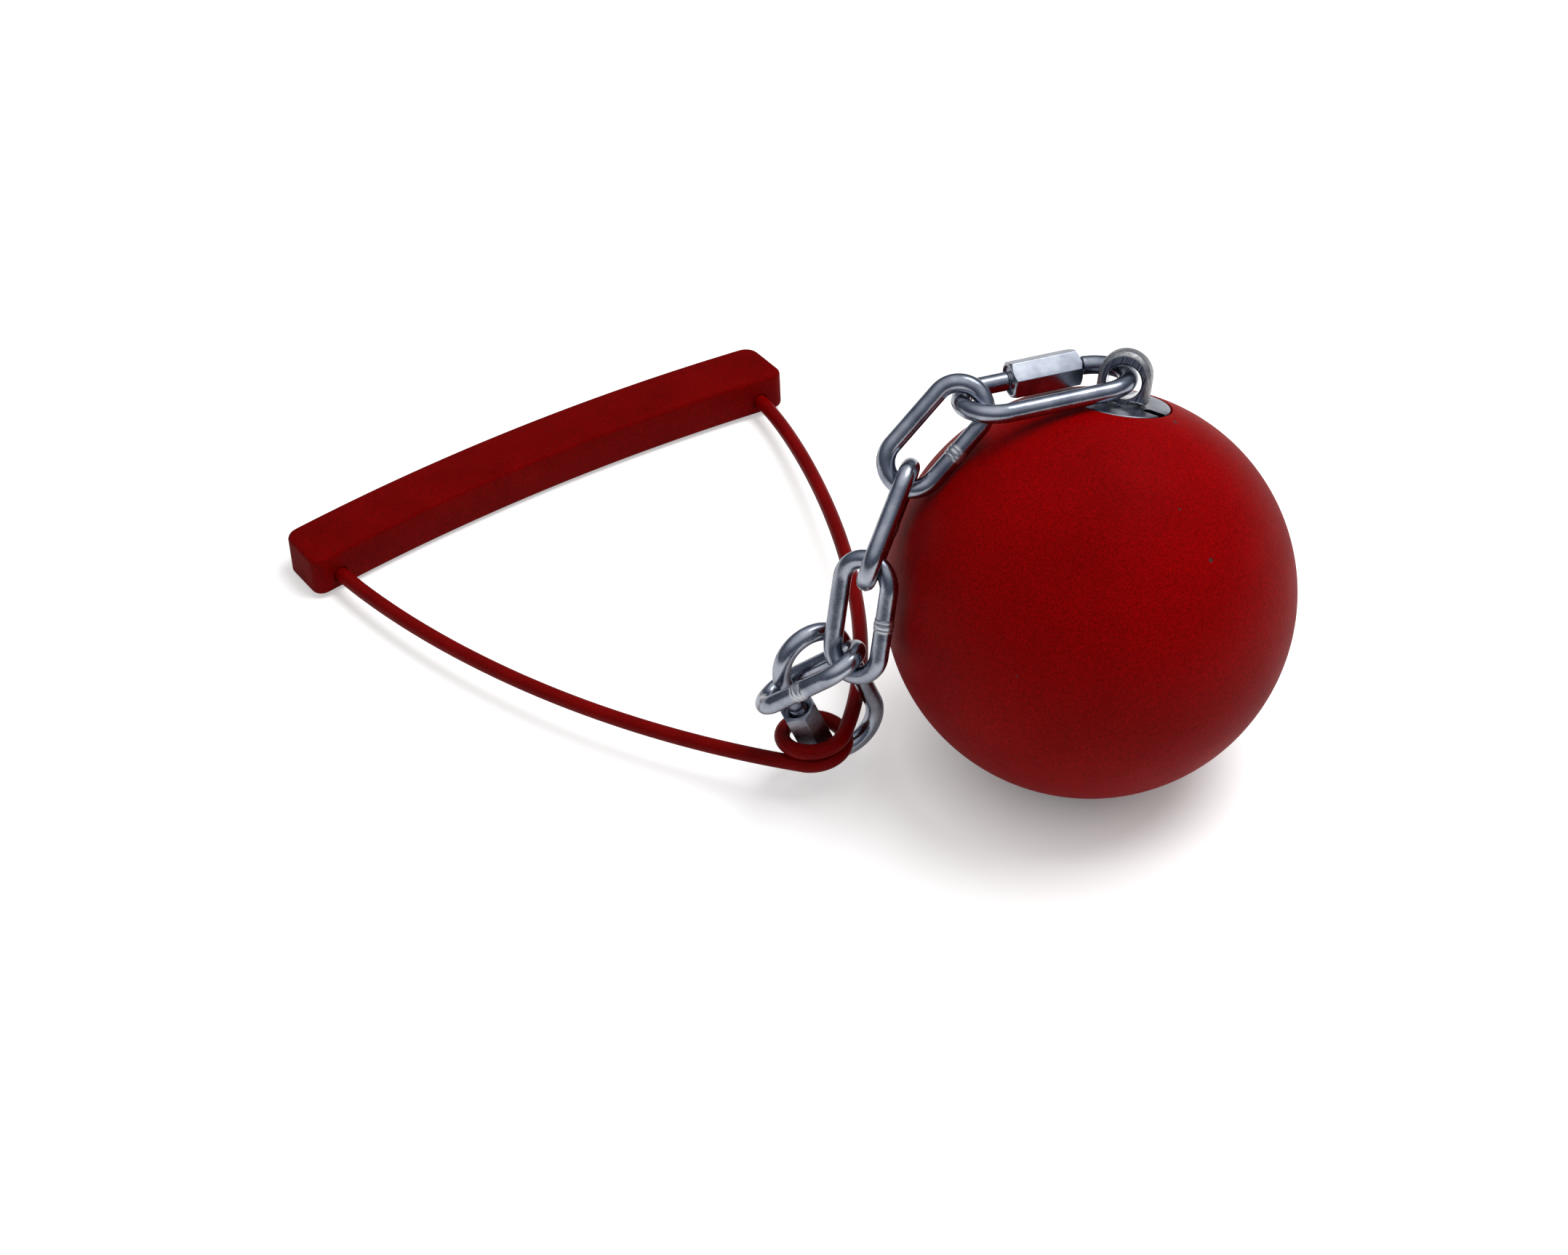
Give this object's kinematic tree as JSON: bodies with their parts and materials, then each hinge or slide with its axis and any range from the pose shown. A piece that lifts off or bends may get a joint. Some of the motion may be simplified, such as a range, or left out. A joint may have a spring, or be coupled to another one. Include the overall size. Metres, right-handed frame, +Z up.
{
  "type": "throwing weight",
  "caption": "Heavy iron ball with a ball-bearing swivel eye, a short welded chain between two screw quick links, and a bowed grip on a bent wire triangle.",
  "frame": {"origin": "on the floor, under the middle of the whole weight as it lies", "axes": "+Z up, +X towards the ball's side of the lying weight, +Y away from the viewer"},
  "size_m": [0.2824, 0.2224, 0.1184],
  "materials": {
    "red_enamel": "glossy enamel, slightly orange-peeled",
    "red_coating": "satin dipped coating",
    "red_plastic": "satin moulded",
    "zinc_plate": "bright zinc plate",
    "machined_steel": "machined, oiled",
    "bearing_steel": "ground and polished",
    "brass": "pressed",
    "lead_fill": "cast, dull"
  },
  "bodies": {
    "ball": {"ball_shell": "red_enamel", "ball_core": "lead_fill", "filling_plug": "machined_steel", "bearing_housing": "machined_steel", "bearing_cap": "zinc_plate", "upper_race": "bearing_steel"},
    "swivel": {"swivel_eye": "zinc_plate", "lower_race": "bearing_steel", "thrust_washer": "machined_steel", "lock_nut": "zinc_plate", "split_pin": "machined_steel"},
    "cage": {"ball_cage": "brass", "bearing_ball_01": "bearing_steel", "bearing_ball_02": "bearing_steel", "bearing_ball_03": "bearing_steel", "bearing_ball_04": "bearing_steel", "bearing_ball_05": "bearing_steel", "bearing_ball_06": "bearing_steel", "bearing_ball_07": "bearing_steel", "bearing_ball_08": "bearing_steel", "bearing_ball_09": "bearing_steel", "bearing_ball_10": "bearing_steel"},
    "upper_quick": {"upper_quick_link": "zinc_plate"},
    "upper_sleeve": {"upper_link_sleeve": "zinc_plate"},
    "link_1": {"chain_link_1": "zinc_plate"},
    "link_2": {"chain_link_2": "zinc_plate"},
    "link_3": {"chain_link_3": "zinc_plate"},
    "link_4": {"chain_link_4": "zinc_plate"},
    "lower_quick": {"lower_quick_link": "zinc_plate"},
    "lower_sleeve": {"lower_link_sleeve": "zinc_plate"},
    "handle": {"handle_wire": "red_coating", "handle_grip": "red_plastic"}
  },
  "joints": [
    {"name": "swivel_spin", "type": "hinge", "parent": "ball", "child": "swivel", "pos_m": [0.08623, -0.05623, 0.055], "axis": [0.126, 0.3551, 0.9263], "continuous": true},
    {"name": "cage_spin", "type": "hinge", "parent": "ball", "child": "cage", "pos_m": [0.08623, -0.05623, 0.055], "axis": [0.126, 0.3551, 0.9263], "continuous": true},
    {"name": "upper_quick_swing", "type": "hinge", "parent": "swivel", "child": "upper_quick", "pos_m": [0.09371, -0.03515, 0.10997], "axis": [0.2489, 0.8925, -0.376], "range_deg": [0, 150]},
    {"name": "upper_sleeve_slide", "type": "slide", "parent": "upper_quick", "child": "upper_sleeve", "axis": [0.9405, 0.3395, -0.015], "range_m": [-0.007, 0]},
    {"name": "link_1_swing", "type": "hinge", "parent": "upper_quick", "child": "link_1", "pos_m": [0.0568, -0.04746, 0.10957], "axis": [-0.0024, 0.5533, 0.833], "range_deg": [0, 45]},
    {"name": "link_2_swing", "type": "hinge", "parent": "link_1", "child": "link_2", "pos_m": [0.03476, -0.05725, 0.0923], "axis": [0.8799, -0.3075, -0.3624], "range_deg": [-90, 6]},
    {"name": "link_3_swing", "type": "hinge", "parent": "link_2", "child": "link_3", "pos_m": [0.02999, -0.07154, 0.07648], "axis": [-0.6368, 0.6249, 0.4517], "range_deg": [-6, 70]},
    {"name": "link_4_swing", "type": "hinge", "parent": "link_3", "child": "link_4", "pos_m": [0.02387, -0.08119, 0.0479], "axis": [0.8636, -0.4353, 0.2543], "range_deg": [-36, 8]},
    {"name": "lower_quick_swing", "type": "hinge", "parent": "link_4", "child": "lower_quick", "pos_m": [0.00426, -0.06807, 0.03307], "axis": [-0.8055, -0.3818, -0.4532], "range_deg": [-6, 36]},
    {"name": "lower_sleeve_turn", "type": "hinge", "parent": "lower_quick", "child": "lower_sleeve", "pos_m": [0.01101, -0.07102, 0.02056], "axis": [-0.3341, -0.139, 0.9322], "range_deg": [0, 360]},
    {"name": "handle_swing", "type": "hinge", "parent": "lower_quick", "child": "handle", "pos_m": [0.01291, -0.07023, 0.01525], "axis": [-0.3341, -0.139, 0.9322], "range_deg": [0, 150]}
  ],
  "couplings": [
    {"joint": "cage_spin", "follows": "swivel_spin", "ratio": 0.5}
  ]
}
